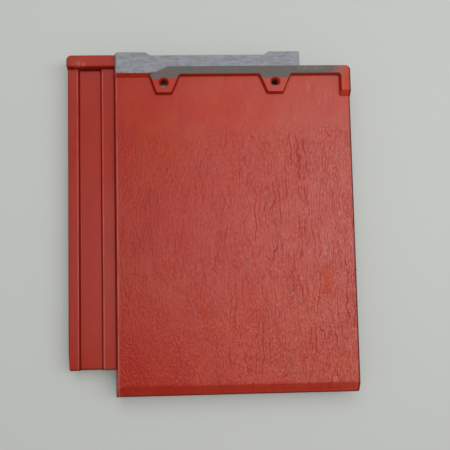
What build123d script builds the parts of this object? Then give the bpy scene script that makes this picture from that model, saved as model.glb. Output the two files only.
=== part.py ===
from build123d import *
import os

# Flat interlocking roof tile of pressed concrete, one piece.
#
# Millimetres, +Z up. The tile lies with its weathered face up: +Y points to the head,
# the ridge side of a roof, and +X to the right. The origin is under the middle of the
# tile, on the surface that it rests on.

# Overall plan
LENGTH = 420.0
PAN_WIDTH = 291.5
UNDERLAP_WIDTH = 61.0
UNDERLAP_FOOT_GAP = 32.1
UNDERLAP_TAPER = 2.0
UNDERLAP_TAPER_RUN = 36.0

# Levels above the floor
BEARING_Z = 12.5
BAY_Z = 20.0
CHANNEL_Z = 19.0
LAND_Z = 22.5
OVERLOCK_Z = 23.0
TONGUE_Z = 20.0
BAR_Z = 28.5
PAN_Z = 33.0
SHELF_Z = 37.5
BAND_Z = 38.5

# Underlap section, from the outer ridge to the pan's wall
RIDGE = 13.6
RIDGE_SLOPE = 2.2
LAND = 15.4
LAND_SLOPE = 1.5
OUTER_DRAFT = 0.8
PAN_WALL_RUN = 3.0

# Overlock under the right edge, distances in from that edge
OVERLOCK_WIDTH = 60.0
TONGUE_NEAR = 21.0
TONGUE_FAR = 41.0
TONGUE_DRAFT = 2.0

# Head: lugs, shelf behind the band, band, lip and bosses, distances from the head
LUG = 4.0
LUG_CHAMFER = 6.6
LEFT_LUG_END = 37.2
RIGHT_LUG_START = 190.8
RIGHT_LUG_END = 228.6
BAND_HEAD = 18.5
BAND_FOOT = 30.1
BAND_DRAFT = 22.0
BAND_START_HEAD = 61.4
BAND_START_FOOT = 40.4
BAND_START_Y = 27.2
SHELF_TOP = 26.5
SHELF_FOOT = 31.0
SHELF_DRAFT = 45.0
SHELF_WIDTH = 48.0
BOSS_FOOT = 53.2
BOSS_ROOT_WIDTH = 40.8
BOSS_END_WIDTH = 20.8
LIP_WIDTH = 13.6
LIP_FOOT = 56.5
LIP_RAMP = 7.0

# Nail holes, from the pan's left edge and from the head
NAIL_X = (59.8, 197.6)
NAIL_Y = 38.8
NAIL_RADIUS = 4.0
COUNTERSINK_RADIUS = 6.3
COUNTERSINK_DEPTH = 3.0

# Bar across the head of the underlap
BAR_TOP = 14.2
BAR_FOOT = 17.4
BAR_FRONT_R = 2.5

# Foot: bevel, nose and weather bar, distances from the foot
BEVEL_RUN = 13.8
BEVEL_DROP = 8.0
BEVEL_TOP_R = 5.0
BEVEL_FOOT_R = 2.5
NOSE_BACK = 12.0
NOSE_LEAN = 1.5
WEATHER_BAR_NEAR = 16.0
WEATHER_BAR_FAR = 25.5
WEATHER_BAR_LEAN = 1.5

# Underside
LEFT_RIB = 14.0
MIDDLE_RIB = 12.0
RIGHT_RIB = 12.0
BAY_FOOT = 36.0
BAY_HEAD = 27.0
BAY_DRAFT = 15.0
BAY_CORNER_R = 8.0
NIB_BACK = 1.0
NIB_FRONT = 19.0
NIB_INSET = 3.0
NIB_LEAN = 3.0
HEAD_REBATE = 26.0
HEAD_REBATE_Z = 24.5
HEAD_REBATE_INSET = 4.0

# How far a cutting shape runs past the tile, and how far it stands clear of a face
BEYOND = 30.0
CLEAR = 1.0

# What counts as the same corner and as level
SAME = 0.01
FLAT = 0.001

# Rounded edges
EDGE_R = 1.6
SECTION_R = 1.2
HEAD_CORNER_R = 6.0
SMALL_CORNER_R = 2.0
BOSS_END_R = 3.6
BOSS_ROOT_R = 1.5
LIP_CORNER_R = 2.5
BAND_EDGE_R = 0.9
WALL_FOOT_R = 1.2
HEAD_EDGE_R = 1.2
FLOOR_EDGE_R = 1.2

WIDTH = UNDERLAP_WIDTH + PAN_WIDTH
HEAD = LENGTH / 2
FOOT = -LENGTH / 2
LEFT = -WIDTH / 2
RIGHT = WIDTH / 2
PAN_LEFT = LEFT + UNDERLAP_WIDTH
WALL_FOOT = PAN_LEFT - PAN_WALL_RUN
UNDERLAP_FOOT = FOOT + UNDERLAP_FOOT_GAP
REBATE_LEFT = RIGHT - OVERLOCK_WIDTH


def pan_x(distance):
    """X at this distance right of the pan's left edge."""
    return PAN_LEFT + distance


def head_y(distance):
    """Y at this distance from the head."""
    return HEAD - distance


def foot_y(distance):
    """Y at this distance from the foot."""
    return FOOT + distance


def outline(corners, radii=None):
    """A closed flat shape. The corners named in radii are rounded."""
    face = make_face(Polyline(*corners, close=True))
    for (x, y), radius in (radii or {}).items():
        corner = [v for v in face.vertices() if abs(v.X - x) + abs(v.Y - y) < SAME]
        face = fillet(corner, radius)
    return face


def along_y(face, y0, y1):
    """A section drawn as X and Z, run from y0 up to y1."""
    plane = Plane((0, y1, 0), x_dir=(1, 0, 0), z_dir=(0, -1, 0))
    return extrude(plane * face, y1 - y0)


def along_x(face, x0, x1):
    """A section drawn as Y and Z, run from x0 up to x1."""
    plane = Plane((x0, 0, 0), x_dir=(0, 1, 0), z_dir=(1, 0, 0))
    return extrude(plane * face, x1 - x0)


def upwards(face, z0, z1, draft=0.0):
    """A plan shape raised from z0 to z1, its walls leaning in by the draft angle."""
    return extrude(Pos(0, 0, z0) * face, z1 - z0, taper=draft)


def rectangle(x0, x1, y0, y1):
    """A plan rectangle between two corners."""
    return Pos((x0 + x1) / 2, (y0 + y1) / 2) * Rectangle(x1 - x0, y1 - y0)


def rolled_section():
    """The section along the whole tile: underlap, pan and overlock."""
    ridge_outer = (LEFT + OUTER_DRAFT, LAND_Z)
    ridge_inner = (LEFT + RIDGE, LAND_Z)
    channel_left = (LEFT + RIDGE + RIDGE_SLOPE, CHANNEL_Z)
    land_left = (WALL_FOOT - LAND, LAND_Z)
    channel_right = (WALL_FOOT - LAND - LAND_SLOPE, CHANNEL_Z)
    wall_foot = (WALL_FOOT, LAND_Z)
    pan_left = (PAN_LEFT, PAN_Z)
    pan_right = (RIGHT, PAN_Z)
    corners = [
        (LEFT, BEARING_Z),
        ridge_outer,
        ridge_inner,
        channel_left,
        channel_right,
        land_left,
        wall_foot,
        pan_left,
        pan_right,
        (RIGHT, OVERLOCK_Z),
        (RIGHT - TONGUE_NEAR, OVERLOCK_Z),
        (RIGHT - TONGUE_NEAR - TONGUE_DRAFT, TONGUE_Z),
        (RIGHT - TONGUE_FAR + TONGUE_DRAFT, TONGUE_Z),
        (RIGHT - TONGUE_FAR, OVERLOCK_Z),
        (REBATE_LEFT, OVERLOCK_Z),
        (REBATE_LEFT, BEARING_Z),
    ]
    inner = (ridge_inner, channel_left, channel_right, land_left, wall_foot)
    outer = (ridge_outer, pan_left, pan_right)
    radii = {corner: SECTION_R for corner in inner}
    radii.update({corner: EDGE_R for corner in outer})
    return along_y(outline(corners, radii), FOOT, HEAD)


def plan_shape():
    """The tile from above: lugs at the head, a notch at the right, a short underlap."""
    notch_y = head_y(BAND_HEAD)
    underlap_corner = (LEFT + UNDERLAP_TAPER, UNDERLAP_FOOT)
    corners = [
        underlap_corner,
        (LEFT, UNDERLAP_FOOT + UNDERLAP_TAPER_RUN),
        (LEFT, HEAD),
        (pan_x(LEFT_LUG_END), HEAD),
        (pan_x(LEFT_LUG_END + LUG_CHAMFER), head_y(LUG)),
        (pan_x(RIGHT_LUG_START - LUG_CHAMFER), head_y(LUG)),
        (pan_x(RIGHT_LUG_START), HEAD),
        (pan_x(RIGHT_LUG_END), HEAD),
        (pan_x(RIGHT_LUG_END), notch_y),
        (RIGHT, notch_y),
        (RIGHT, FOOT),
        (WALL_FOOT, FOOT),
        (WALL_FOOT, UNDERLAP_FOOT),
    ]
    radii = {(LEFT, HEAD): HEAD_CORNER_R, (RIGHT, notch_y): HEAD_CORNER_R}
    lug_corner = (pan_x(RIGHT_LUG_END), HEAD)
    for corner in (underlap_corner, (WALL_FOOT, FOOT), (RIGHT, FOOT), lug_corner):
        radii[corner] = SMALL_CORNER_R
    return outline(corners, radii)


def band_shape():
    """The weather band at the level of the pan, with its two nail bosses and the lip."""
    root = BOSS_ROOT_WIDTH / 2
    end = BOSS_END_WIDTH / 2
    foot = head_y(BAND_FOOT)
    boss_foot = head_y(BOSS_FOOT)
    lip_left = RIGHT - LIP_WIDTH
    left_boss, right_boss = [pan_x(nail) for nail in NAIL_X]
    corners = [
        (pan_x(BAND_START_HEAD), head_y(BAND_HEAD)),
        (pan_x(BAND_START_FOOT), head_y(BAND_START_Y)),
        (left_boss - end, boss_foot),
        (left_boss + end, boss_foot),
        (left_boss + root, foot),
        (right_boss - root, foot),
        (right_boss - end, boss_foot),
        (right_boss + end, boss_foot),
        (right_boss + root, foot),
        (lip_left, foot),
        (lip_left, head_y(LIP_FOOT)),
        (RIGHT + BEYOND, head_y(LIP_FOOT)),
        (RIGHT + BEYOND, HEAD + BEYOND),
        (pan_x(BAND_START_HEAD), HEAD + BEYOND),
    ]
    radii = {(lip_left, foot): LIP_CORNER_R}
    for corner in ((left_boss + root, foot), (right_boss - root, foot), (right_boss + root, foot)):
        radii[corner] = BOSS_ROOT_R
    for boss in (left_boss, right_boss):
        radii[(boss - end, boss_foot)] = BOSS_END_R
        radii[(boss + end, boss_foot)] = BOSS_END_R
    return outline(corners, radii)


def raised_head():
    """What stands up from the pan at the head: band, bosses, lip and the shelf behind them."""
    top = BAND_Z + CLEAR
    lip_end = head_y(LIP_FOOT)
    lip_run = LIP_RAMP * (top - PAN_Z) / (BAND_Z - PAN_Z)
    lip_ramp = outline([(lip_end, PAN_Z), (lip_end, top), (lip_end + lip_run, top)])
    behind_band = rectangle(PAN_LEFT, RIGHT + BEYOND, head_y(BAND_HEAD), HEAD + BEYOND)
    band = upwards(band_shape(), PAN_Z, BAND_Z, BAND_DRAFT)
    band -= along_x(lip_ramp, RIGHT - BEYOND, RIGHT + BEYOND)
    band -= upwards(behind_band, SHELF_Z, top)

    shelf_shape = rectangle(PAN_LEFT - BEYOND, RIGHT, head_y(SHELF_FOOT), HEAD + BEYOND)
    before_band = rectangle(pan_x(SHELF_WIDTH), RIGHT, head_y(SHELF_FOOT), head_y(SHELF_TOP))
    shelf = upwards(shelf_shape, PAN_Z, SHELF_Z, SHELF_DRAFT)
    shelf -= upwards(before_band, PAN_Z, top)

    left_root = rectangle(PAN_LEFT - BEYOND, pan_x(EDGE_R), head_y(SHELF_FOOT), HEAD)
    right_root = rectangle(RIGHT - EDGE_R, RIGHT, head_y(LIP_FOOT), HEAD)
    raised = band + shelf
    raised += upwards(left_root, PAN_Z - EDGE_R, PAN_Z)
    raised += upwards(right_root, PAN_Z - EDGE_R, PAN_Z)
    return raised & side_walls()


def side_walls():
    """The space between the pan's leaning left wall and its upright right edge."""
    lean = PAN_WALL_RUN / (PAN_Z - LAND_Z)
    corner = (PAN_LEFT + lean * (BAND_Z - PAN_Z), BAND_Z)
    section = outline([
        (PAN_LEFT - lean * EDGE_R, PAN_Z - EDGE_R),
        corner,
        (RIGHT, BAND_Z),
        (RIGHT, PAN_Z - EDGE_R),
    ])
    return along_y(section, FOOT, HEAD)


def underlap_bar():
    """The rounded bar that closes the channel at the head."""
    front = (head_y(BAR_TOP), BAR_Z)
    section = outline([
        (HEAD, CHANNEL_Z),
        (HEAD, BAR_Z),
        front,
        (head_y(BAR_FOOT), CHANNEL_Z),
    ], {front: BAR_FRONT_R})
    return along_x(section, LEFT, PAN_LEFT + EDGE_R)


def side_profile():
    """The tile from the side: a bevel at the foot, with both its edges eased."""
    bevel_top = (foot_y(BEVEL_RUN), PAN_Z)
    bevel_bottom = (FOOT, PAN_Z - BEVEL_DROP)
    past_bevel = foot_y(BEVEL_RUN + BEYOND)
    corners = [
        (FOOT, 0),
        bevel_bottom,
        bevel_top,
        (past_bevel, PAN_Z),
        (past_bevel, BAND_Z),
        (HEAD, BAND_Z),
        (HEAD, 0),
    ]
    radii = {bevel_top: BEVEL_TOP_R, bevel_bottom: BEVEL_FOOT_R}
    return along_x(outline(corners, radii), LEFT, RIGHT)


def foot_bars():
    """The nose and the weather bar, which rest on the tile below."""
    root_top = PAN_Z - BEVEL_DROP - BEVEL_FOOT_R
    section = outline([
        (FOOT, root_top),
        (FOOT, BAY_Z),
        (foot_y(NOSE_LEAN), 0),
        (foot_y(NOSE_BACK - NOSE_LEAN), 0),
        (foot_y(NOSE_BACK), BEARING_Z),
        (foot_y(WEATHER_BAR_NEAR), BEARING_Z),
        (foot_y(WEATHER_BAR_NEAR + WEATHER_BAR_LEAN), 0),
        (foot_y(WEATHER_BAR_FAR - WEATHER_BAR_LEAN), 0),
        (foot_y(WEATHER_BAR_FAR), BEARING_Z),
        (foot_y(WEATHER_BAR_FAR), root_top),
    ])
    return along_x(section, WALL_FOOT, RIGHT)


def nib(x0, x1):
    """A batten nib under a lug. Its foot-facing side hooks over the batten."""
    section = outline([
        (head_y(NIB_FRONT), BEARING_Z),
        (head_y(NIB_FRONT), 0),
        (head_y(NIB_BACK + NIB_LEAN), 0),
        (head_y(NIB_BACK), BEARING_Z),
    ])
    return along_x(section, x0, x1)


def bays():
    """The two long hollows between the ribs of the underside."""
    middle = (pan_x(LEFT_RIB) + REBATE_LEFT - RIGHT_RIB) / 2
    spans = [
        (pan_x(LEFT_RIB), middle - MIDDLE_RIB / 2),
        (middle + MIDDLE_RIB / 2, REBATE_LEFT - RIGHT_RIB),
    ]
    hollows = []
    for x0, x1 in spans:
        shape = rectangle(x0, x1, foot_y(BAY_FOOT), head_y(BAY_HEAD))
        shape = fillet(shape.vertices(), BAY_CORNER_R)
        hollows.append(upwards(shape, BEARING_Z, BAY_Z, BAY_DRAFT))
    return hollows


def nail_hole(x):
    """A countersunk hole through a boss."""
    shaft = Cylinder(NAIL_RADIUS, BAND_Z + 2 * CLEAR)
    mouth = Cone(NAIL_RADIUS, COUNTERSINK_RADIUS, COUNTERSINK_DEPTH)
    hole = Pos(0, 0, BAND_Z / 2) * shaft
    hole += Pos(0, 0, BAND_Z - COUNTERSINK_DEPTH / 2) * mouth
    return Pos(pan_x(x), head_y(NAIL_Y)) * hole


def head_rebate():
    """The hollow under the head, between the two nibs."""
    return rectangle(
        pan_x(LEFT_LUG_END + HEAD_REBATE_INSET),
        pan_x(RIGHT_LUG_START - HEAD_REBATE_INSET),
        head_y(HEAD_REBATE),
        HEAD,
    )


def level_edges(tile, z, chosen):
    """The edges that lie flat at this level and whose middle is in the chosen area."""
    found = []
    for edge in tile.edges():
        box = edge.bounding_box()
        flat = abs(box.min.Z - z) < FLAT and abs(box.max.Z - z) < FLAT
        if flat and chosen(edge):
            found.append(edge)
    return found


def is_nail_mouth(edge):
    """True for the rim of a countersunk hole."""
    return edge.geom_type == GeomType.CIRCLE and abs(edge.radius - COUNTERSINK_RADIUS) < FLAT


def is_long_wall_foot(edge):
    """True for the foot of the band's wall, between and beside the bosses."""
    at_band = abs(edge.center().Y - head_y(BAND_FOOT)) < FLAT
    return at_band and edge.length > BOSS_ROOT_WIDTH


def ease_edges(tile):
    """Rounds the edges that a mould leaves rounded. A fillet runs on along a smooth chain."""
    chosen = [
        (0, FLOOR_EDGE_R, lambda edge: edge.length > NIB_FRONT / 2),
        (BAR_Z, HEAD_EDGE_R, lambda edge: edge.center().Y > head_y(CLEAR)),
        (SHELF_Z, HEAD_EDGE_R, lambda edge: edge.center().Y > head_y(LUG + CLEAR)),
        (SHELF_Z, HEAD_EDGE_R, lambda edge: edge.center().X < PAN_LEFT + PAN_WALL_RUN),
        (BAND_Z, BAND_EDGE_R, lambda edge: not is_nail_mouth(edge)),
        (PAN_Z, WALL_FOOT_R, is_long_wall_foot),
    ]
    for level, radius, choice in chosen:
        tile = fillet(level_edges(tile, level, choice), radius)
    return tile


def roof_tile():
    """The whole tile: added forms first, then what is cut away, then the eased edges."""
    tile = rolled_section() + raised_head() + underlap_bar() + foot_bars()
    tile &= side_profile()
    tile &= upwards(plan_shape(), 0, BAND_Z)
    tile += nib(pan_x(NIB_INSET), pan_x(LEFT_LUG_END - NIB_INSET))
    tile += nib(pan_x(RIGHT_LUG_START + NIB_INSET), pan_x(RIGHT_LUG_END - NIB_INSET))
    for hollow in bays():
        tile -= hollow
    tile -= upwards(head_rebate(), 0, HEAD_REBATE_Z)
    for x in NAIL_X:
        tile -= nail_hole(x)
    return ease_edges(tile)


if __name__ == "__main__":
    os.makedirs("parts", exist_ok=True)
    tile = roof_tile()
    print("solids", len(tile.solids()), "valid", tile.is_valid, "cm3", tile.volume / 1000)
    export_step(tile, "parts/roof_tile.step")
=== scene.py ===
# %% [markdown]
# A flat roof tile of pressed concrete
#
# The object is one piece: a slab of cement and sand, pressed in a steel mould, with an
# acrylic coat sprayed on the face that meets the weather. The frame holds its true
# shape and size. This lesson gives that shape its surface: the riven relief that the
# mould presses into the face, the skin of the casting, and the coat with its bare edge.

import math

import bmesh
import bpy
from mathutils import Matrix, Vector


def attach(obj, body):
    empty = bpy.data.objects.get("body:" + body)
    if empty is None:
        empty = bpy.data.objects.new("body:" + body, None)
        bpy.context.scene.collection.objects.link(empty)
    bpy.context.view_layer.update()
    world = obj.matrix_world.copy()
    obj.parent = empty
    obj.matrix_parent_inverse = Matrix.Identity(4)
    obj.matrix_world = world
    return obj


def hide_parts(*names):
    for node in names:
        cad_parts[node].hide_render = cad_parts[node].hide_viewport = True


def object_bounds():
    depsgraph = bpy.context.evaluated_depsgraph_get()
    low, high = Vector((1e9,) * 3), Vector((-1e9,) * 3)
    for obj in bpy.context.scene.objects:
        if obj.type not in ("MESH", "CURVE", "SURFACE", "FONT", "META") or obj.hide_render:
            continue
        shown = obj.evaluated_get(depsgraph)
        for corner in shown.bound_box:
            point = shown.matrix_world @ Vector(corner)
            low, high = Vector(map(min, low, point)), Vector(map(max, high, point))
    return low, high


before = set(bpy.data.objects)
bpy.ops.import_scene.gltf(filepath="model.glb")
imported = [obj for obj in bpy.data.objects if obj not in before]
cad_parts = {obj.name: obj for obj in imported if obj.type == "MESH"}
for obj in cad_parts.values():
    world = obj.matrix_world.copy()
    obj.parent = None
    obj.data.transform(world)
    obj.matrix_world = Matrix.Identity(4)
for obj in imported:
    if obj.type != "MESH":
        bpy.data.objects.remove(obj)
CAD_LOW, CAD_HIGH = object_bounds()
MM = 0.001
print("frame in mm", [round(v / MM, 1) for v in CAD_LOW], [round(v / MM, 1) for v in CAD_HIGH])

# %% [markdown]
# Places on the tile
#
# Everything later is placed from the frame's own box: its left, right, foot and head
# sides, and its top. The other values are real sizes of the tile, in millimetres, so
# that a reader can check them with a rule. A tile is measured from its head, where it
# hooks on the batten, and from the left edge of its pan, which is the broad flat part.
# The pan's left neighbour is the underlap, which the next tile covers on the roof.

# %% Name the levels and the edges
UNDERLAP_WIDTH = 61.0 * MM
UNDERLAP_SHORT = 32.1 * MM
BAND_RISE = 5.5 * MM
SHELF_DROP = 1.0 * MM
BEVEL_DROP = 8.0 * MM

LEFT, FOOT, FLOOR = CAD_LOW
RIGHT, HEAD, BAND_Z = CAD_HIGH
PAN_LEFT = LEFT + UNDERLAP_WIDTH
UNDERLAP_FOOT = FOOT + UNDERLAP_SHORT
PAN_Z = BAND_Z - BAND_RISE
SHELF_Z = BAND_Z - SHELF_DROP
BEVEL_Z = PAN_Z - BEVEL_DROP


def from_head(distance):
    """Y at this many millimetres from the head."""
    return HEAD - distance * MM


def from_pan(distance):
    """X at this many millimetres right of the pan's left edge."""
    return PAN_LEFT + distance * MM


print("pan from x", round(PAN_LEFT / MM, 1), "to", round(RIGHT / MM, 1), "at z", round(PAN_Z / MM, 1))

# %% [markdown]
# The camera
#
# The photograph was taken by hand from above, almost square to the tile. The four
# edges of the pan give the camera's place: they are true straight lines, so their
# directions in the picture fix its tilt, its turn and its height for a given lens. A
# small shift of the lens stands for the picture's crop, which isn't centred. A tilted
# camera without a shift would also frame the tile, but it would bend its outline. The
# picture and its centre are in pixels, and lens and sensor in millimetres.

# %% Make the camera
PICTURE = 450
PICTURE_CENTRE = (195.0, 224.0)
LENS = 44.8
SENSOR = 36
CAMERA_PLACE = Vector((-41.2, -50.4, 712.5)) * MM
CAMERA_TILT = math.radians(3.97)
CAMERA_ROLL = math.radians(-1.785)
CAMERA_TURN = math.radians(-1.053)


def make_camera():
    """A plain camera that looks down on the tile."""
    data = bpy.data.cameras.new("overhead_camera")
    data.lens = LENS
    data.sensor_width = SENSOR
    data.shift_x = (PICTURE / 2 - PICTURE_CENTRE[0]) / PICTURE
    data.shift_y = (PICTURE_CENTRE[1] - PICTURE / 2) / PICTURE
    camera = bpy.data.objects.new("overhead_camera", data)
    camera.rotation_mode = "ZXY"
    camera.rotation_euler = (CAMERA_TILT, CAMERA_ROLL, CAMERA_TURN)
    camera.location = CAMERA_PLACE
    bpy.context.scene.collection.objects.link(camera)
    bpy.context.scene.camera = camera
    return camera


camera = make_camera()
print("camera is", round(camera.location.z - PAN_Z, 3), "m above the pan")

# %% [markdown]
# Nodes by one small function
#
# Materials and Geometry Nodes are both trees of nodes. One function adds a node, sets
# what it is told to set, and fills its live sockets in order: a socket that gets
# another socket is linked, and any other value is written on it. It gives back the
# node's first output, because that is what the next node mostly needs.

# %% A helper for nodes and a helper for colours
MATH = "ShaderNodeMath"
VECTOR = "ShaderNodeVectorMath"
RANGE = "ShaderNodeMapRange"
SPLIT = "ShaderNodeSeparateXYZ"
MIX = "ShaderNodeMix"
SOFT = {"interpolation_type": "SMOOTHSTEP"}


def add(tree, kind, *values, inputs=None, **settings):
    """Adds a node and gives back its first live output, or the node where it has none."""
    made = tree.nodes.new(kind)
    for name, value in settings.items():
        setattr(made, name, value)
    live = [socket for socket in made.inputs if socket.enabled]
    named = [(made.inputs[name], value) for name, value in (inputs or {}).items()]
    for socket, value in [*zip(live, values), *named]:
        if isinstance(value, bpy.types.NodeSocket):
            tree.links.new(value, socket)
        elif value is not None:
            socket.default_value = value
    return next((socket for socket in made.outputs if socket.enabled), made)


def colour(code):
    """A hex colour, as a screen shows it, in the linear values that light works in, by the sRGB rule."""
    channels = [int(code[i:i + 2], 16) / 255 for i in (0, 2, 4)]
    linear = [c / 12.92 if c <= 0.04045 else ((c + 0.055) / 1.055) ** 2.4 for c in channels]
    return (*linear, 1.0)


print("mid grey", [round(c, 3) for c in colour("808080")])

# %% [markdown]
# The mesh to work on
#
# The frame's node is made of loose triangles, as few as its flat faces allow. Relief
# needs points to move. A remesh would give them, but it would also eat the sharp
# arrises, and cutting the whole tile by planes is slow. So a copy is merged, the flat
# faces of its pan are joined again, and the long edges round them are divided. Then the
# big flat face is exchanged for a grid that ends on those divided edges: the real
# outline stays, and the mesh stays closed. The cells are closer across the tile than
# along it, because the relief runs along it. A narrow strip at each side and some cuts
# across the bevel keep the cells there even.

# %% Find the faces that get relief
RELIEF_START = 66.0
MERGE = 0.002 * MM
FLAT_ANGLE = math.radians(0.6)
SHARP_ANGLE = math.radians(32)
TOP_FACE = math.cos(math.radians(64))


def is_pan_face(face):
    """True for the flat faces of the pan and of its bevel, which are plain outlines without a hole."""
    low, high = [pick(vert.co.z for vert in face.verts) for pick in (min, max)]
    level = BEVEL_Z - MM < low and high < PAN_Z + MERGE
    return face.normal.z > TOP_FACE and level and face.calc_center_bounds().x > PAN_LEFT


def is_weathered(place):
    """True for a place on the face that shows on a roof: the pan below its head, and the bevel."""
    below_head = place.y < from_head(RELIEF_START) + MERGE
    return below_head and place.z > BEVEL_Z - MM and place.x > PAN_LEFT - MM


def weathered_faces(mesh, level):
    """The weathered faces that are level, or else the ones that slope to the foot."""
    faces = [face for face in mesh.faces if is_weathered(face.calc_center_bounds())]
    if level:
        return [face for face in faces if face.normal.z > math.cos(FLAT_ANGLE)]
    return [face for face in faces if face.normal.y < -math.sin(FLAT_ANGLE) and face.normal.z > TOP_FACE]


# %% Join and cut faces


def joined_copy(node, name):
    """A copy of a node with its points merged and the flat faces of its pan joined."""
    data = node.data.copy()
    data.name = name
    data.attributes.remove(data.attributes["custom_normal"])
    mesh = bmesh.new()
    mesh.from_mesh(data)
    bmesh.ops.remove_doubles(mesh, verts=mesh.verts, dist=MERGE)
    flat = [edge for edge in mesh.edges if all(is_pan_face(face) for face in edge.link_faces)]
    bmesh.ops.dissolve_limit(mesh, angle_limit=FLAT_ANGLE, verts=[], edges=flat)
    for edge in mesh.edges:
        edge.smooth = edge.calc_face_angle(0.0) < SHARP_ANGLE
    return data, mesh


def cut_faces(mesh, faces, axis, place):
    """Cuts some faces by one plane square to an axis."""
    normal = Vector([float(i == axis) for i in range(3)])
    parts = set(faces)
    for face in faces:
        parts.update(face.edges)
        parts.update(face.verts)
    bmesh.ops.bisect_plane(mesh, geom=list(parts), dist=MERGE, plane_co=normal * place, plane_no=normal)


# %% Divide the long edges
ACROSS_STEP = 0.8 * MM
ALONG_STEP = 1.7 * MM
FULL_LENGTH = 0.9
ROUNDING = 0.01


def cuts_for(edge, pan_size):
    """How many points to add to an edge where relief comes, the same for all edges as long as the pan."""
    run = edge.verts[1].co - edge.verts[0].co
    along = abs(run.y) > abs(run.x)
    if not is_weathered((edge.verts[0].co + edge.verts[1].co) / 2):
        return 0
    step = ALONG_STEP if along else ACROSS_STEP
    if run.length > FULL_LENGTH * pan_size[along]:
        return round(pan_size[along] / step) - 1
    return math.ceil(run.length / step - ROUNDING) - 1


def divide_long_edges(mesh, pan_size):
    """Divides each edge evenly. Edges with as many cuts go together, so that strips are cut across."""
    groups = {}
    for edge in mesh.edges:
        groups.setdefault(cuts_for(edge, pan_size), []).append(edge)
    for cuts in sorted(count for count in groups if count > 0):
        bmesh.ops.subdivide_edges(mesh, edges=groups[cuts], cuts=cuts)


# %% Lay a grid in the open pan


def lay_grid(mesh):
    """Fills a level rectangular hole with a grid that uses the points on its rim."""
    rim = {vert for edge in mesh.edges if edge.is_boundary for vert in edge.verts}
    low = [min(vert.co[axis] for vert in rim) for axis in (0, 1)]
    xs = sorted(vert.co.x for vert in rim if vert.co.y < low[1] + MERGE)
    ys = sorted(vert.co.y for vert in rim if vert.co.x < low[0] + MERGE)
    known = {}
    for vert in rim:
        column = min(range(len(xs)), key=lambda i: abs(xs[i] - vert.co.x))
        row = min(range(len(ys)), key=lambda j: abs(ys[j] - vert.co.y))
        known[column, row] = vert
    for row, y in enumerate(ys):
        for column, x in enumerate(xs):
            if (column, row) not in known:
                known[column, row] = mesh.verts.new((x, y, PAN_Z))
    for row in range(len(ys) - 1):
        for column in range(len(xs) - 1):
            corners = ((column, row), (column + 1, row), (column + 1, row + 1), (column, row + 1))
            mesh.faces.new([known[corner] for corner in corners]).smooth = True
    return len(xs), len(ys), len(rim)


# %% Exchange the pan for the grid
BEVEL_CUTS = 5
SIDE_STRIP = 3.0 * MM

cast_data, cast = joined_copy(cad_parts["roof_tile"], "roof_tile_cast")
upward = [face for face in cast.faces if face.normal.z > math.cos(FLAT_ANGLE)]
cut_faces(cast, [max(upward, key=lambda face: face.calc_area())], 1, from_head(RELIEF_START))
pan = max(weathered_faces(cast, True), key=lambda face: face.calc_area())
pan_low, pan_high = [[pick(vert.co[axis] for vert in pan.verts) for axis in (0, 1)] for pick in (min, max)]
pan_size = [high - low for low, high in zip(pan_low, pan_high)]
for place in (pan_low[0] + SIDE_STRIP, pan_high[0] - SIDE_STRIP):
    cut_faces(cast, weathered_faces(cast, True) + weathered_faces(cast, False), 0, place)
for index in range(1, BEVEL_CUTS):
    cut_faces(cast, weathered_faces(cast, False), 1, FOOT + (pan_low[1] - FOOT) * index / BEVEL_CUTS)
bmesh.ops.delete(cast, geom=weathered_faces(cast, True), context="FACES")
divide_long_edges(cast, pan_size)
columns, rows, rim = lay_grid(cast)
open_edges = sum(not edge.is_manifold for edge in cast.edges)
cast.to_mesh(cast_data)
cast.free()
triangles = sum(len(face.vertices) - 2 for face in cast_data.polygons)
print("grid", columns, "by", rows, "rim", rim, "open edges", open_edges, "triangles", triangles)

# %% [markdown]
# Patterns with a real size
#
# Relief, coat and concrete all follow noise. Each pattern is kept as a few named
# values: a seed, the width of its lumps across the tile in millimetres, how many times
# longer they are along the tile, and its detail and roughness. A step makes the noise
# rise softly between two of its values, and a strength says from what to what. A grain
# is another kind of pattern: even lines down the tile, which a noise sways, as the
# grain of a board runs. The level lines of a noise would be simpler, but they close
# into loops, and a real grain doesn't.

# %% Helpers for a noise and for a grain
SEED_STEP = 37.0
GRAIN_STRETCH = 2.8


def pattern(tree, place, seed, width, stretch=1.0, detail=2.0, roughness=0.5, step=None, strength=(0.0, 1.0)):
    """A noise from 0 to 1 with lumps of this width in millimetres, or its strength after the step."""
    size = width * MM
    scale = (1 / size, 1 / size / stretch, 1 / size)
    scaled = add(tree, VECTOR, place, scale, (seed * SEED_STEP,) * 3, operation="MULTIPLY_ADD")
    settings = {"Scale": 1.0, "Detail": detail, "Roughness": roughness}
    noise = add(tree, "ShaderNodeTexNoise", scaled, inputs=settings)
    return add(tree, RANGE, noise, *step, *strength, **SOFT) if step else noise


def grain(tree, place, spacing, seed, width, sway):
    """How far a place is from the nearest line of a grain, in spacings. The sway is in spacings too."""
    x = add(tree, SPLIT, place).node.outputs[0]
    rows = add(tree, MATH, x, spacing * MM, operation="DIVIDE")
    swaying = pattern(tree, place, seed, width, GRAIN_STRETCH)
    rows = add(tree, MATH, swaying, sway, rows, operation="MULTIPLY_ADD")
    return add(tree, MATH, rows, 0.5, operation="PINGPONG")


# %% [markdown]
# The riven relief, by Geometry Nodes
#
# The mould gives the face the look of split slate or old wood: thin wavy furrows that
# run down the tile, with small pebbly bumps between them, and plain patches. It is
# neither scattered nor carved by hand. It follows a rule, so a node tree moves the
# points of the face. Short streaks are the dips of a stretched noise and come nearly
# everywhere. Lines of a grain are longer, and they gather at the right. One more noise
# bends everything, so that nothing runs straight. The height only goes down from the
# true face, because the mould's own surface is the highest that the concrete reaches.
# The same functions serve the material later, so that the fine furrows it adds lie in
# the coarse ones of the mesh.

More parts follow.
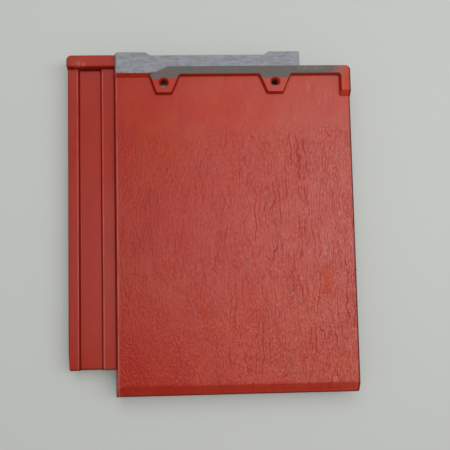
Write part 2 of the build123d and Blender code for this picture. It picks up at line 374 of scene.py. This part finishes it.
# %% Bend the places that the relief is drawn on
BROAD_BEND = {"seed": 1, "width": 38, "stretch": 1.8}
SMALL_BEND = {"seed": 2, "width": 5, "stretch": 1.6}
BROAD_REACH = 7.0 * MM
SMALL_REACH = 1.7 * MM


def bent_place(tree, place):
    """Places on the level, pushed about by a broad and a small noise, which makes straight rules wavy."""
    place = add(tree, VECTOR, place, (1.0, 1.0, 0.0), operation="MULTIPLY")
    for bend, reach in ((BROAD_BEND, BROAD_REACH), (SMALL_BEND, SMALL_REACH)):
        push = pattern(tree, place, **bend).node.outputs["Color"]
        push = add(tree, VECTOR, push, (0.5, 0.5, 0.5), operation="SUBTRACT")
        push = add(tree, VECTOR, push, inputs={"Scale": reach}, operation="SCALE")
        place = add(tree, VECTOR, place, push, operation="ADD")
    return place


# %% The rule of the furrows
STREAKS = {
    "seed": 3, "width": 2.2, "stretch": 2.8, "detail": 1.5, "step": (0.48, 0.72), "strength": (0.0, 0.48),
}
STREAK_AREAS = {"seed": 5, "width": 34, "stretch": 1.5, "step": (0.36, 0.6), "strength": (0.45, 1.0)}
LONG_GRAIN = {"spacing": 8, "seed": 4, "width": 15, "sway": 3.0}
LONG_LINE = (0.01, 0.09)
LONG_AREAS = {"seed": 6, "width": 21, "stretch": 2.4, "roughness": 0.6, "step": (0.47, 0.62)}
SHORT_GRAIN = {"spacing": 4, "seed": 23, "width": 6, "sway": 2.4}
SHORT_LINE = (0.0, 0.15)
SHORT_DEPTH = 0.62
SHORT_AREAS = {
    "seed": 24, "width": 12, "stretch": 1.6, "roughness": 0.6, "step": (0.42, 0.58), "strength": (0.3, 1.0),
}
GRAIN_RISE = (from_pan(60), from_pan(220))
GRAIN_ON_LEFT = 0.45


def furrows(tree, place, bent):
    """1 in the bottom of a furrow: short streaks nearly everywhere, and lines of a grain in places."""
    streaks = pattern(tree, bent, **STREAKS)
    streaks = add(tree, MATH, streaks, pattern(tree, place, **STREAK_AREAS), operation="MULTIPLY")
    long = add(tree, RANGE, grain(tree, bent, **LONG_GRAIN), *LONG_LINE, 1.0, 0.0, **SOFT)
    long = add(tree, MATH, long, pattern(tree, place, **LONG_AREAS), operation="MULTIPLY")
    short = add(tree, RANGE, grain(tree, bent, **SHORT_GRAIN), *SHORT_LINE, SHORT_DEPTH, 0.0, **SOFT)
    short = add(tree, MATH, short, pattern(tree, place, **SHORT_AREAS), operation="MULTIPLY")
    lines = add(tree, MATH, long, short, operation="MAXIMUM")
    x = add(tree, SPLIT, place).node.outputs[0]
    to_right = add(tree, RANGE, x, *GRAIN_RISE, GRAIN_ON_LEFT, 1.0)
    lines = add(tree, MATH, lines, to_right, operation="MULTIPLY")
    return add(tree, MATH, streaks, lines, operation="MAXIMUM")


# %% The rule of the pebbly bumps
DIMPLES = {
    "seed": 7, "width": 2.2, "stretch": 1.5, "detail": 1.0, "step": (0.35, 0.66), "strength": (1.0, 0.0),
}
DIMPLE_AREAS = {
    "seed": 8, "width": 30, "stretch": 1.7, "roughness": 0.6, "step": (0.4, 0.6), "strength": (0.3, 1.0),
}


def pebbles(tree, place, bent):
    """1 in the dimples between small bumps, which are stronger in some patches."""
    dimples = pattern(tree, bent, **DIMPLES)
    return add(tree, MATH, dimples, pattern(tree, place, **DIMPLE_AREAS), operation="MULTIPLY")


# %% Where the mould carries relief
RAGGED_START = {"seed": 20, "width": 26, "stretch": 0.8, "detail": 4.0, "roughness": 0.6}
RAGGED_REACH = 44 * MM
START_FADE = (-26 * MM, 8 * MM)
SIDE_FADE = (0.5 * MM, 4 * MM)
FOOT_FADE = (0.0, 3 * MM)
TILT_FADE = (0.5, 0.98)


def weathered_mask(tree, given, place, normal):
    """1 where the mould carries relief: on faces turned up, off the underlap, below the head."""
    x, y, z = add(tree, SPLIT, place).node.outputs
    up = add(tree, SPLIT, normal).node.outputs[2]
    past_start = add(tree, MATH, y, given["Relief starts at"], operation="SUBTRACT")
    inside = add(tree, MATH, x, given["Left edge"], operation="SUBTRACT")
    above = add(tree, MATH, z, given["Lowest"], operation="SUBTRACT")
    ragged = pattern(tree, place, **RAGGED_START)
    past_start = add(tree, MATH, ragged, RAGGED_REACH, past_start, operation="MULTIPLY_ADD")
    mask = add(tree, RANGE, past_start, *START_FADE, 1.0, 0.0, **SOFT)
    for value, fade in ((inside, SIDE_FADE), (above, FOOT_FADE), (up, TILT_FADE)):
        part = add(tree, RANGE, value, *fade, **SOFT)
        mask = add(tree, MATH, mask, part, operation="MULTIPLY")
    return mask


# %% Helpers that build a tree with named inputs and run it


def new_tree(name, inputs):
    """A Geometry Nodes tree with a geometry in and out and these named inputs."""
    tree = bpy.data.node_groups.new(name, "GeometryNodeTree")
    tree.interface.new_socket("Geometry", in_out="INPUT", socket_type="NodeSocketGeometry")
    for label, kind in inputs.items():
        tree.interface.new_socket(label, in_out="INPUT", socket_type=kind)
    tree.interface.new_socket("Geometry", in_out="OUTPUT", socket_type="NodeSocketGeometry")
    return tree


def run_tree(target, tree, values):
    """Runs a tree on an object with these values, and keeps the result as its plain mesh."""
    modifier = target.modifiers.new(tree.name, "NODES")
    modifier.node_group = tree
    sockets = {item.name: item.identifier for item in tree.interface.items_tree if item.in_out == "INPUT"}
    for label, value in values.items():
        modifier[sockets[label]] = value
    graph = bpy.context.evaluated_depsgraph_get()
    shaped = target.evaluated_get(graph)
    made = bpy.data.meshes.new_from_object(shaped, preserve_all_data_layers=True, depsgraph=graph)
    target.modifiers.remove(modifier)
    old, target.data = target.data, made
    bpy.data.meshes.remove(old)
    made.name = target.name


# %% The tree that presses the relief
WAVES = {"seed": 9, "width": 26, "stretch": 2.5}
SKIN = {"seed": 10, "width": 9, "detail": 3.0, "roughness": 0.6}


def relief_tree():
    """Furrows, dimples and broad waves on the weathered face, and a slightly uneven skin all over."""
    lengths = ("Furrow depth", "Dimple depth", "Wave depth", "Skin depth")
    places = ("Relief starts at", "Left edge", "Lowest")
    inputs = {label: "NodeSocketFloat" for label in lengths + places}
    tree = new_tree("riven_relief", {**inputs, "Material": "NodeSocketMaterial"})
    given = add(tree, "NodeGroupInput").node.outputs
    place = add(tree, "GeometryNodeInputPosition")
    normal = add(tree, "GeometryNodeInputNormal")
    mask = weathered_mask(tree, given, place, normal)
    bent = bent_place(tree, place)
    furrow = furrows(tree, place, bent)
    dimple = pebbles(tree, place, bent)

    depth = add(tree, MATH, pattern(tree, place, **WAVES), given["Wave depth"], operation="MULTIPLY")
    depth = add(tree, MATH, dimple, given["Dimple depth"], depth, operation="MULTIPLY_ADD")
    depth = add(tree, MATH, furrow, given["Furrow depth"], depth, operation="MULTIPLY_ADD")
    depth = add(tree, MATH, depth, mask, operation="MULTIPLY")
    down = add(tree, VECTOR, (0.0, 0.0, -1.0), inputs={"Scale": depth}, operation="SCALE")

    inward = add(tree, RANGE, pattern(tree, place, **SKIN), 0.0, 1.0, 0.0, -1.0)
    inward = add(tree, MATH, inward, given["Skin depth"], operation="MULTIPLY")
    offset = add(tree, VECTOR, normal, inputs={"Scale": inward}, operation="SCALE")
    offset = add(tree, VECTOR, offset, down, operation="ADD")

    stored = {"Name": "riven", "Value": mask}
    geometry = add(tree, "GeometryNodeStoreNamedAttribute", given["Geometry"], inputs=stored)
    geometry = add(tree, "GeometryNodeSetPosition", geometry, inputs={"Offset": offset})
    geometry = add(tree, "GeometryNodeRealizeInstances", geometry)
    geometry = add(tree, "GeometryNodeSetMaterial", geometry, inputs={"Material": given["Material"]})
    add(tree, "NodeGroupOutput", geometry)
    return tree


relief = relief_tree()
print("relief tree", len(relief.nodes), "nodes")

# %% [markdown]
# Where the sprayed coat lies
#
# The coat is sprayed on the pressed concrete before it has quite cured. At the head the
# spray is held back, so the shelf, most of the raised band and the head's own side stay
# bare. It comes from above, so the underside is bare too, and down the other sides it
# ends about a centimetre above the floor. The edge of a spray is soft and speckled. Two
# materials, one for each set of faces, would end the coat in a ruled line, so one
# material holds coat and concrete, and a mask tells them apart. At the right end of the
# band the coat thins out in flakes over a couple of centimetres.

# %% The edges of the coat
SHELF_COAT_EDGE = from_head(26.1)
BAND_COAT_EDGE = from_head(34.0)
HEAD_EDGE_FADE = (-0.9 * MM, 0.7 * MM)
UNDERLAP_COAT_EDGE = PAN_LEFT - 0.8 * MM
UNDERLAP_EDGE_FADE = (UNDERLAP_COAT_EDGE - 0.5 * MM, UNDERLAP_COAT_EDGE + 0.5 * MM)
WANDER = {"seed": 11, "width": 12, "detail": 4.0, "roughness": 0.65}
WANDER_REACH = 3.0 * MM
SPECKLE = {"seed": 12, "width": 1.5}
SPECKLE_REACH = 2.2 * MM
FLAKES = {"seed": 29, "width": 3, "stretch": 0.5, "detail": 3.0, "roughness": 0.6}
FLAKE_REACH = 60 * MM
RIGHT_FADE = (from_pan(266), from_pan(288))
SPRAYED_TILT = (0.2, 0.5)
SPRAYED_DOWN_TO = (8 * MM, 12 * MM)
UNDER_TILT = (-0.4, -0.1)
HEAD_TILT = (0.5, 0.8)


def coat_cover(tree, place, normal, band):
    """1 where the sprayed coat lies and 0 where the concrete is bare, with a speckled edge between."""
    _, to_head, up = add(tree, SPLIT, normal).node.outputs
    middle = -(WANDER_REACH + SPECKLE_REACH) / 2
    shift = add(tree, MATH, pattern(tree, place, **SPECKLE), SPECKLE_REACH, middle, operation="MULTIPLY_ADD")
    shift = add(tree, MATH, pattern(tree, place, **WANDER), WANDER_REACH, shift, operation="MULTIPLY_ADD")
    x, y, z = [add(tree, MATH, axis, shift, operation="ADD") for axis in add(tree, SPLIT, place).node.outputs]

    between = BAND_COAT_EDGE - SHELF_COAT_EDGE
    edge = add(tree, MATH, band, between, SHELF_COAT_EDGE, operation="MULTIPLY_ADD")
    past = add(tree, MATH, y, edge, operation="SUBTRACT")
    cover = add(tree, RANGE, past, *HEAD_EDGE_FADE, 1.0, 0.0, **SOFT)
    left = add(tree, RANGE, x, *UNDERLAP_EDGE_FADE, 1.0, 0.0, **SOFT)
    flaky = add(tree, MATH, pattern(tree, place, **FLAKES), FLAKE_REACH, x, operation="MULTIPLY_ADD")
    flaky = add(tree, MATH, flaky, FLAKE_REACH / 2, operation="SUBTRACT")
    right = add(tree, RANGE, flaky, *RIGHT_FADE, **SOFT)
    for other in (left, right):
        cover = add(tree, MATH, cover, other, operation="MAXIMUM")

    top = add(tree, RANGE, up, *SPRAYED_TILT, **SOFT)
    side = add(tree, RANGE, z, *SPRAYED_DOWN_TO, **SOFT)
    sprayed = add(tree, MATH, top, side, operation="MAXIMUM")
    not_under = add(tree, RANGE, up, *UNDER_TILT, **SOFT)
    not_head = add(tree, RANGE, to_head, *HEAD_TILT, 1.0, 0.0, **SOFT)
    for part in (sprayed, not_under, not_head):
        cover = add(tree, MATH, cover, part, operation="MULTIPLY")
    return cover


# %% [markdown]
# What use has left on the coat, and painted light on its arrises
#
# A pale painted highlight runs along a few raised left edges, as if they caught the light. Cement dust clings
# in a few patches, and in other patches the coat is clean and shows its orange. A thin dark line of painted
# shade runs along the outer rims. Patches, edges and rims are few and each has its own place, so they stand
# in short tables of real sizes.

# %% Soft patches
PALE_PATCHES = (
    (139.8, -29.0, 8.0, 26.0),
    (126.0, 188.0, 24.0, 3.5),
    (-72.0, 190.0, 6.0, 4.0),
    (-160.0, 198.0, 11.0, 5.0),
)
CLEAN_PATCHES = (
    (140.6, -74.0, 12.0, 30.0),
    (-94.7, 143.0, 15.0, 34.0),
    (-52.0, 92.0, 30.0, 24.0),
    (172.0, 170.0, 7.0, 24.0),
)
PATCH_RIM = {"seed": 13, "width": 7, "stretch": 2.0, "detail": 4.0, "roughness": 0.7}
PATCH_RAGGED = 1.6
PATCH_FADE = (0.3, 1.1)


def spots(tree, place, table):
    """1 in some soft ragged ovals, given by middle, half width and half length in millimetres."""
    ragged = pattern(tree, place, **PATCH_RIM)
    ragged = add(tree, MATH, ragged, PATCH_RAGGED, -PATCH_RAGGED / 2, operation="MULTIPLY_ADD")
    total = 0.0
    for x, y, across, along in table:
        scale = (1 / across / MM, 1 / along / MM, 0.0)
        away = add(tree, VECTOR, place, scale, (-x / across, -y / along, 0.0), operation="MULTIPLY_ADD")
        away = add(tree, VECTOR, away, operation="LENGTH")
        away = add(tree, MATH, away, ragged, operation="ADD")
        spot = add(tree, RANGE, away, *PATCH_FADE, 1.0, 0.0, **SOFT)
        total = add(tree, MATH, spot, total, operation="MAXIMUM")
    return total


# %% Painted highlights on edges and painted shade on rims
# Painted highlights: pale lines along these edges, as if they caught the light.
HIGHLIGHT_EDGES = ((PAN_LEFT + 1.2 * MM, 0.3), (PAN_LEFT - 17.0 * MM, 0.25), (LEFT + 12.6 * MM, 0.2))
HIGHLIGHT_HALF_WIDTH = 0.7 * MM
HIGHLIGHT_PARTS = {
    "seed": 22, "width": 5, "stretch": 4.0, "detail": 3.0, "step": (0.3, 0.6), "strength": (0.3, 1.0),
}
BELOW_BAR = (from_head(22), from_head(18))
# Painted shade: a thin dark line along the right, left and foot rims, and across the underlap's foot.
RIMS = ((0, RIGHT, 2.2), (0, LEFT, 1.0), (1, FOOT, 2.0))
RIM_FADE = 0.8
UNDERLAP_RIM = (UNDERLAP_FOOT + 1.2 * MM, UNDERLAP_FOOT + 3 * MM)
OFF_PAN = (PAN_LEFT - 4 * MM, PAN_LEFT - 3 * MM)


def edge_highlights(tree, place):
    """A painted highlight along the left edges of the pan and of the land beside it, as if they caught the
    light.
    """
    x, y, _ = add(tree, SPLIT, place).node.outputs
    total = 0.0
    for edge, highlight in HIGHLIGHT_EDGES:
        near = add(tree, MATH, x, edge, HIGHLIGHT_HALF_WIDTH, operation="COMPARE")
        total = add(tree, MATH, near, highlight, total, operation="MULTIPLY_ADD")
    below_bar = add(tree, RANGE, y, *BELOW_BAR, 1.0, 0.0)
    total = add(tree, MATH, total, below_bar, operation="MULTIPLY")
    return add(tree, MATH, total, pattern(tree, place, **HIGHLIGHT_PARTS), operation="MULTIPLY")


def rim_shade(tree, place):
    """1 along the outer arrises, where a thin line of painted shade goes."""
    axes = add(tree, SPLIT, place).node.outputs
    near = add(tree, RANGE, axes[1], *UNDERLAP_RIM, 1.0, 0.0, **SOFT)
    off_pan = add(tree, RANGE, axes[0], *OFF_PAN, 1.0, 0.0)
    total = add(tree, MATH, near, off_pan, operation="MULTIPLY")
    for axis, edge, width in RIMS:
        near = add(tree, MATH, axes[axis], edge, operation="SUBTRACT")
        near = add(tree, MATH, near, operation="ABSOLUTE")
        near = add(tree, RANGE, near, width / 2 * MM, (width + RIM_FADE) * MM, 1.0, 0.0, **SOFT)
        total = add(tree, MATH, near, total, operation="MAXIMUM")
    return total


# %% [markdown]
# The colour of the coat
#
# The coat is one deep red with little white in it. It varies: warmer where it is thick, deeper in random
# patches, and pale with dust. Painted shade darkens it in the furrows, towards the left, low on steep faces
# and along the rims, and a painted sheen veils it towards the right, on the crests and not on slopes. Each
# variation is a mask, and the masks are mixed over the red one by one.

# %% Dust and painted sheen on the coat
DUST = {
    "seed": 16, "width": 5, "stretch": 4.0, "detail": 5.0, "roughness": 0.7,
    "step": (0.5, 0.8), "strength": (0.0, 0.12),
}
FLECKS = {"seed": 27, "width": 1.5, "stretch": 3.5, "step": (0.54, 0.7), "strength": (0.0, 0.17)}
# Dust and flecks grow towards the right, as part of the painted sheen.
DUST_AND_SHEEN_ACROSS = (0.2, 1.6)
# Painted sheen: a pale haze, as of a soft reflection, that rises towards the right.
SHEEN = {"seed": 28, "width": 50, "stretch": 1.5}
SHEEN_WANDER = 160 * MM
SHEEN_RISE = (-20 * MM, RIGHT + 60 * MM)
SHEEN_STRENGTH = 0.22
SHEEN_IN_FURROW = 0.1
DEEP_FURROW = 0.7
LEVEL_TILT = (0.88, 0.96)
DUST_AND_SHEEN_ON_SLOPE = 0.15


def coat_dust_and_sheen(tree, place, up, furrow, riven, clean):
    """How pale the coat is: streaks of dust, small flecks, and a painted sheen, all stronger to the right,
    and none of them on slopes.
    """
    x = add(tree, SPLIT, place).node.outputs[0]
    across = add(tree, RANGE, x, PAN_LEFT, RIGHT, *DUST_AND_SHEEN_ACROSS)
    dust_and_sheen = add(tree, MATH, pattern(tree, place, **DUST), across, operation="MULTIPLY")
    flecks = add(tree, MATH, pattern(tree, place, **FLECKS), riven, operation="MULTIPLY")
    flecks = add(tree, MATH, flecks, across, operation="MULTIPLY")
    # Painted sheen: a pale veil rising to the right, on the crests and not in the furrows.
    sheen = add(tree, MATH, pattern(tree, place, **SHEEN), SHEEN_WANDER, x, operation="MULTIPLY_ADD")
    sheen = add(tree, RANGE, sheen, *SHEEN_RISE, 0.0, SHEEN_STRENGTH)
    crest = add(tree, RANGE, furrow, 0.0, DEEP_FURROW, 1.0, SHEEN_IN_FURROW)
    veiled = add(tree, MATH, 1.0, clean, operation="SUBTRACT")
    for other in (crest, veiled):
        sheen = add(tree, MATH, sheen, other, operation="MULTIPLY")
    for other in (flecks, sheen):
        dust_and_sheen = add(tree, MATH, dust_and_sheen, other, operation="ADD")
    level = add(tree, RANGE, up, *LEVEL_TILT, DUST_AND_SHEEN_ON_SLOPE, 1.0)
    return add(tree, MATH, dust_and_sheen, level, operation="MULTIPLY")


# %% The reds
COAT = colour("AC220A")
COAT_WARM = colour("B03808")
# A deep red for random patches, and for the painted shade in the furrows and towards the left.
COAT_DEEP_AND_SHADE = colour("861206")
COAT_DUST_AND_SHEEN = colour("C08A82")
# Painted shade: a dark red for steep faces low down and for the outer rims.
COAT_SHADE = colour("500804")
WARM = {"seed": 14, "width": 60, "stretch": 1.6, "detail": 3.0, "step": (0.42, 0.7), "strength": (0.0, 0.7)}
GRIT = {
    "seed": 26, "width": 3.5, "stretch": 1.8, "detail": 3.0, "step": (0.52, 0.68), "strength": (0.0, 0.55),
}
CLEAN_STRENGTH = 0.75
DEEP = {
    "seed": 15, "width": 14, "stretch": 2.5, "detail": 4.0, "roughness": 0.65,
    "step": (0.5, 0.75), "strength": (0.0, 0.45),
}
GRAINS = {"seed": 31, "width": 1.9, "stretch": 1.2, "step": (0.5, 0.66), "strength": (0.0, 0.4)}
# Painted shade: how much the furrows, the left side, low steep faces and the rims are darkened.
FURROW_SHADE_STRENGTH = 0.54
STEEP_TILT = (0.9, 0.3)
SHADED_FALL = (PAN_Z - 4 * MM, PAN_Z - 14 * MM)
SHADE_ON_STEEP = (0.3, 0.9)
LEFT_FALL = (LEFT, from_pan(150))
LEFT_SHADE_STRENGTH = 0.62
RIM_SHADE_STRENGTH = 0.85


def coat_colour(tree, place, normal, furrow, riven):
    """Three reds in soft patches, pale with dust and painted sheen, with painted shade in the furrows,
    towards the left, low on steep faces and along the rims.
    """
    x, _, z = add(tree, SPLIT, place).node.outputs
    up = add(tree, SPLIT, normal).node.outputs[2]
    clean = add(tree, MATH, spots(tree, place, CLEAN_PATCHES), CLEAN_STRENGTH, operation="MULTIPLY")
    warm = add(tree, MATH, pattern(tree, place, **WARM), clean, operation="MAXIMUM")
    warm = add(tree, MATH, warm, pattern(tree, place, **GRIT), operation="MAXIMUM")
    grains = add(tree, MATH, pattern(tree, place, **GRAINS), riven, operation="MULTIPLY")
    deep = add(tree, MATH, pattern(tree, place, **DEEP), grains, operation="MAXIMUM")
    dust_and_sheen = coat_dust_and_sheen(tree, place, up, furrow, riven, clean)
    # Painted shade: darker towards the left.
    shade_on_left = add(tree, RANGE, x, *LEFT_FALL, LEFT_SHADE_STRENGTH, 0.0)
    # Painted shade in the furrows.
    shade_in_furrow = add(tree, MATH, furrow, FURROW_SHADE_STRENGTH, operation="MULTIPLY")
    # Painted shade: steep faces get darker towards the bottom.
    steep = add(tree, RANGE, up, *STEEP_TILT, **SOFT)
    low = add(tree, RANGE, z, *SHADED_FALL, *SHADE_ON_STEEP, **SOFT)
    steep = add(tree, MATH, steep, low, operation="MULTIPLY")
    # Painted shade along the rims.
    rim = add(tree, MATH, rim_shade(tree, place), RIM_SHADE_STRENGTH, operation="MULTIPLY")
    layers = (
        (warm, COAT_WARM),
        (deep, COAT_DEEP_AND_SHADE),
        (dust_and_sheen, COAT_DUST_AND_SHEEN),
        (shade_on_left, COAT_DEEP_AND_SHADE),
        (shade_in_furrow, COAT_DEEP_AND_SHADE),
        (steep, COAT_SHADE),
        (rim, COAT_SHADE),
    )
    red = COAT
    for factor, shade in layers:
        red = add(tree, MIX, factor, red, shade, data_type="RGBA")
    return red


# %% [markdown]
# The bare concrete
#
# Where no coat lies, cement and sand show. The shelf is pale and was brushed along the
# head while it was soft, which leaves faint streaks in a cloudy grey. The band is denser
# and sealed, so it is darker and mottled with brown. Sides and underside are plain
# grey, warmer than the shelf. Small pits are everywhere, as in any pressed concrete.

# %% The greys
CONCRETE = colour("7C7E84")
CONCRETE_PALE = colour("94969D")
CONCRETE_SEALED = colour("6A5B57")
CONCRETE_SEALED_COOL = colour("5C5F5C")
CONCRETE_UNDER = colour("8C8880")
PIT = colour("4A4644")
BRUSHED = {"seed": 17, "width": 20, "stretch": 0.12, "detail": 4.0, "roughness": 0.6}
CLOUDY = {"seed": 30, "width": 6, "stretch": 0.6, "detail": 5.0, "roughness": 0.7}
PALE_STEP = (0.72, 1.28)
MOTTLED = {"seed": 21, "width": 9, "stretch": 0.5, "detail": 3.0, "step": (0.4, 0.6)}
SIDE_TILT = (0.3, 0.6)
PITS = {"seed": 18, "width": 2.2, "detail": 3.0, "step": (0.62, 0.75), "strength": (0.0, 0.6)}


def concrete_colour(tree, place, normal, band):
    """Pale brushed concrete on the shelf, dark sealed concrete on the band, plain grey elsewhere."""
    up = add(tree, SPLIT, normal).node.outputs[2]
    cloudy = pattern(tree, place, **CLOUDY)
    brushed = add(tree, MATH, pattern(tree, place, **BRUSHED), cloudy, operation="ADD")
    brushed = add(tree, RANGE, brushed, *PALE_STEP, **SOFT)
    shelf = add(tree, MIX, brushed, CONCRETE, CONCRETE_PALE, data_type="RGBA")
    mottled = pattern(tree, place, **MOTTLED)
    sealed = add(tree, MIX, mottled, CONCRETE_SEALED, CONCRETE_SEALED_COOL, data_type="RGBA")
    grey = add(tree, MIX, band, shelf, sealed, data_type="RGBA")
    under = add(tree, RANGE, up, *SIDE_TILT, 1.0, 0.0, **SOFT)
    grey = add(tree, MIX, under, grey, CONCRETE_UNDER, data_type="RGBA")
    return add(tree, MIX, pattern(tree, place, **PITS), grey, PIT, data_type="RGBA")


# %% [markdown]
# Acrylic coat on concrete, put together
#
# Acrylic paint on a pressed cement face is satin: its roughness is about 0.3, its IOR the usual 1.5, and the
# concrete beside it is dull, at about 0.8. The specular level is about half of the usual, matched to the
# object, whose dust dulls what it mirrors. Sand, fine furrows and fine dimples are too small for the mesh, so
# they are bump. Real sand is a few tenths of a millimetre and wouldn't show in the picture, so it is drawn at
# nearly one. To the eye this gives a satin red veiled with dust and a painted sheen, and dull grey ends.

# %% The shade, the haze and the bump
BAND_STEP = (SHELF_Z + 0.3 * MM, SHELF_Z + 0.6 * MM)
HAZE_STREAKS = {
    "seed": 25, "width": 2.4, "stretch": 3.0, "detail": 3.0, "step": (0.4, 0.7), "strength": (0.04, 0.34),
}
HAZE_TILT = (0.0, 0.3)
SAND = {"seed": 19, "width": 0.9, "detail": 3.0, "roughness": 0.6}
SAND_HEIGHT = 0.12 * MM
FINE_FURROW = 0.3 * MM
FINE_DIMPLE = 0.21 * MM
CONCRETE_ROUGHNESS = 0.8
COAT_ROUGHNESS = 0.28
COAT_SPECULAR = 0.24


def hazed(tree, place, normal, shade):
    """The colour with pale dust patches and painted edge highlights on it, wherever a face is turned up."""
    up = add(tree, SPLIT, normal).node.outputs[2]
    haze = spots(tree, place, PALE_PATCHES)
    haze = add(tree, MATH, haze, pattern(tree, place, **HAZE_STREAKS), operation="MULTIPLY")
    haze = add(tree, MATH, haze, edge_highlights(tree, place), operation="MAXIMUM")
    haze = add(tree, MATH, haze, add(tree, RANGE, up, *HAZE_TILT), operation="MULTIPLY")
    return add(tree, MIX, haze, shade, COAT_DUST_AND_SHEEN, data_type="RGBA")


def fine_bump(tree, place, furrow, dimple):
    """A normal with sand all over, and with what the mesh is too coarse for in the relief."""
    height = add(tree, MATH, pattern(tree, place, **SAND), SAND_HEIGHT, operation="MULTIPLY")
    height = add(tree, MATH, furrow, -FINE_FURROW, height, operation="MULTIPLY_ADD")
    height = add(tree, MATH, dimple, -FINE_DIMPLE, height, operation="MULTIPLY_ADD")
    return add(tree, "ShaderNodeBump", inputs={"Strength": 1.0, "Distance": 1.0, "Height": height})


# %% The material


def make_tile_material():
    """Acrylic coat sprayed on pressed concrete: a satin red with streaks of dust, and dull grey ends."""
    material = bpy.data.materials.new("acrylic_coated_concrete")
    material.use_nodes = True
    tree = material.node_tree
    tree.nodes.clear()
    spaces = add(tree, "ShaderNodeTexCoord").node.outputs
    place, normal = spaces["Object"], spaces["Normal"]
    riven = add(tree, "ShaderNodeAttribute", attribute_name="riven").node.outputs["Fac"]
    bent = bent_place(tree, place)
    furrow = add(tree, MATH, furrows(tree, place, bent), riven, operation="MULTIPLY")
    dimple = add(tree, MATH, pebbles(tree, place, bent), riven, operation="MULTIPLY")
    z = add(tree, SPLIT, place).node.outputs[2]
    band = add(tree, RANGE, z, *BAND_STEP)
    cover = coat_cover(tree, place, normal, band)
    red = coat_colour(tree, place, normal, furrow, riven)
    grey = concrete_colour(tree, place, normal, band)
    shade = add(tree, MIX, cover, grey, red, data_type="RGBA")
    inputs = {
        "Base Color": hazed(tree, place, normal, shade),
        "Roughness": add(tree, RANGE, cover, 0.0, 1.0, CONCRETE_ROUGHNESS, COAT_ROUGHNESS),
        "Normal": fine_bump(tree, place, furrow, dimple),
        "Specular IOR Level": COAT_SPECULAR,
    }
    shader = add(tree, "ShaderNodeBsdfPrincipled", inputs=inputs)
    add(tree, "ShaderNodeOutputMaterial", shader)
    return material


tile_material = make_tile_material()
print("tile material", len(tile_material.node_tree.nodes), "nodes")

# %% [markdown]
# Press the relief
#
# The prepared mesh becomes an object at the origin, unturned, as the frame's own node
# is. The tree runs on it once with its depths, its result replaces the mesh, and the
# modifier goes. The depths are judged from the shading in the photograph, and together
# they stay under a millimetre.

# %% Make the piece
RELIEF = {
    "Furrow depth": 0.3 * MM,
    "Dimple depth": 0.16 * MM,
    "Wave depth": 0.22 * MM,
    "Skin depth": 0.08 * MM,
    "Relief starts at": from_head(RELIEF_START),
    "Left edge": PAN_LEFT,
    "Lowest": BEVEL_Z,
    "Material": tile_material,
}

tile = bpy.data.objects.new("roof_tile_cast", cast_data)
bpy.context.scene.collection.objects.link(tile)
run_tree(tile, relief, RELIEF)
print("tile", len(tile.data.vertices), "points")

# %% [markdown]
# Floor and light
#
# The tile lies on a plain pale sheet. Two soft lamps do what a studio's do. The key
# stands beyond the head and throws the short shadow at the foot. A long strip stands
# far to the right and high up: the satin coat mirrors it softly, so the right half of
# the face looks hazy, and its light fills the key's shadow at the sides.

# %% Lay the floor and hang the lamps
FLOOR_REACH = 4.0
FLOOR_COLOUR = colour("BEC0BB")
FLOOR_ROUGHNESS = 0.6
KEY = {"place": (-0.3, 1.6, 2.2), "aim": (0.0, 0.0, 0.0), "size": (1.8, 1.4), "watts": 17}
STRIP = {"place": (0.64, 0.1, 1.7), "aim": (0.1, 0.0, 0.0), "size": (0.8, 2.6), "watts": 20}
ROOM_LIGHT = 0.4


def make_floor():
    """A level sheet of plain pale vinyl."""
    data = bpy.data.meshes.new("studio_floor")
    ends = (-FLOOR_REACH, FLOOR_REACH)
    data.from_pydata([(x, y, FLOOR) for y in ends for x in ends], [], [(0, 1, 3, 2)])
    floor = bpy.data.objects.new("studio_floor", data)
    material = bpy.data.materials.new("pale_studio_floor")
    material.use_nodes = True
    shader = material.node_tree.nodes["Principled BSDF"]
    shader.inputs["Base Color"].default_value = FLOOR_COLOUR
    shader.inputs["Roughness"].default_value = FLOOR_ROUGHNESS
    data.materials.append(material)
    bpy.context.scene.collection.objects.link(floor)


def softbox(name, place, aim, size, watts):
    """A soft rectangular lamp that looks at a point."""
    data = bpy.data.lights.new(name, "AREA")
    data.shape = "RECTANGLE"
    data.size, data.size_y = size
    data.energy = watts
    lamp = bpy.data.objects.new(name, data)
    lamp.location = place
    lamp.rotation_euler = (Vector(aim) - Vector(place)).to_track_quat("-Z", "Y").to_euler()
    bpy.context.scene.collection.objects.link(lamp)


def light_the_room():
    """A plain white world that fills the shadows, with colours shown as they are written."""
    world = bpy.data.worlds.new("studio")
    bpy.context.scene.world = world
    world.use_nodes = True
    background = world.node_tree.nodes["Background"]
    background.inputs["Color"].default_value = (1.0, 1.0, 1.0, 1.0)
    background.inputs["Strength"].default_value = ROOM_LIGHT
    bpy.context.scene.view_settings.view_transform = "Standard"


make_floor()
softbox("key_softbox", **KEY)
softbox("strip_softbox", **STRIP)
light_the_room()
print("floor,", len(bpy.data.lights), "lamps and a room light of", ROOM_LIGHT)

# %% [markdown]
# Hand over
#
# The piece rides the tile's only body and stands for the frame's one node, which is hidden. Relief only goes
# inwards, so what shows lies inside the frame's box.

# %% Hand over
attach(tile, "root")
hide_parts("roof_tile")
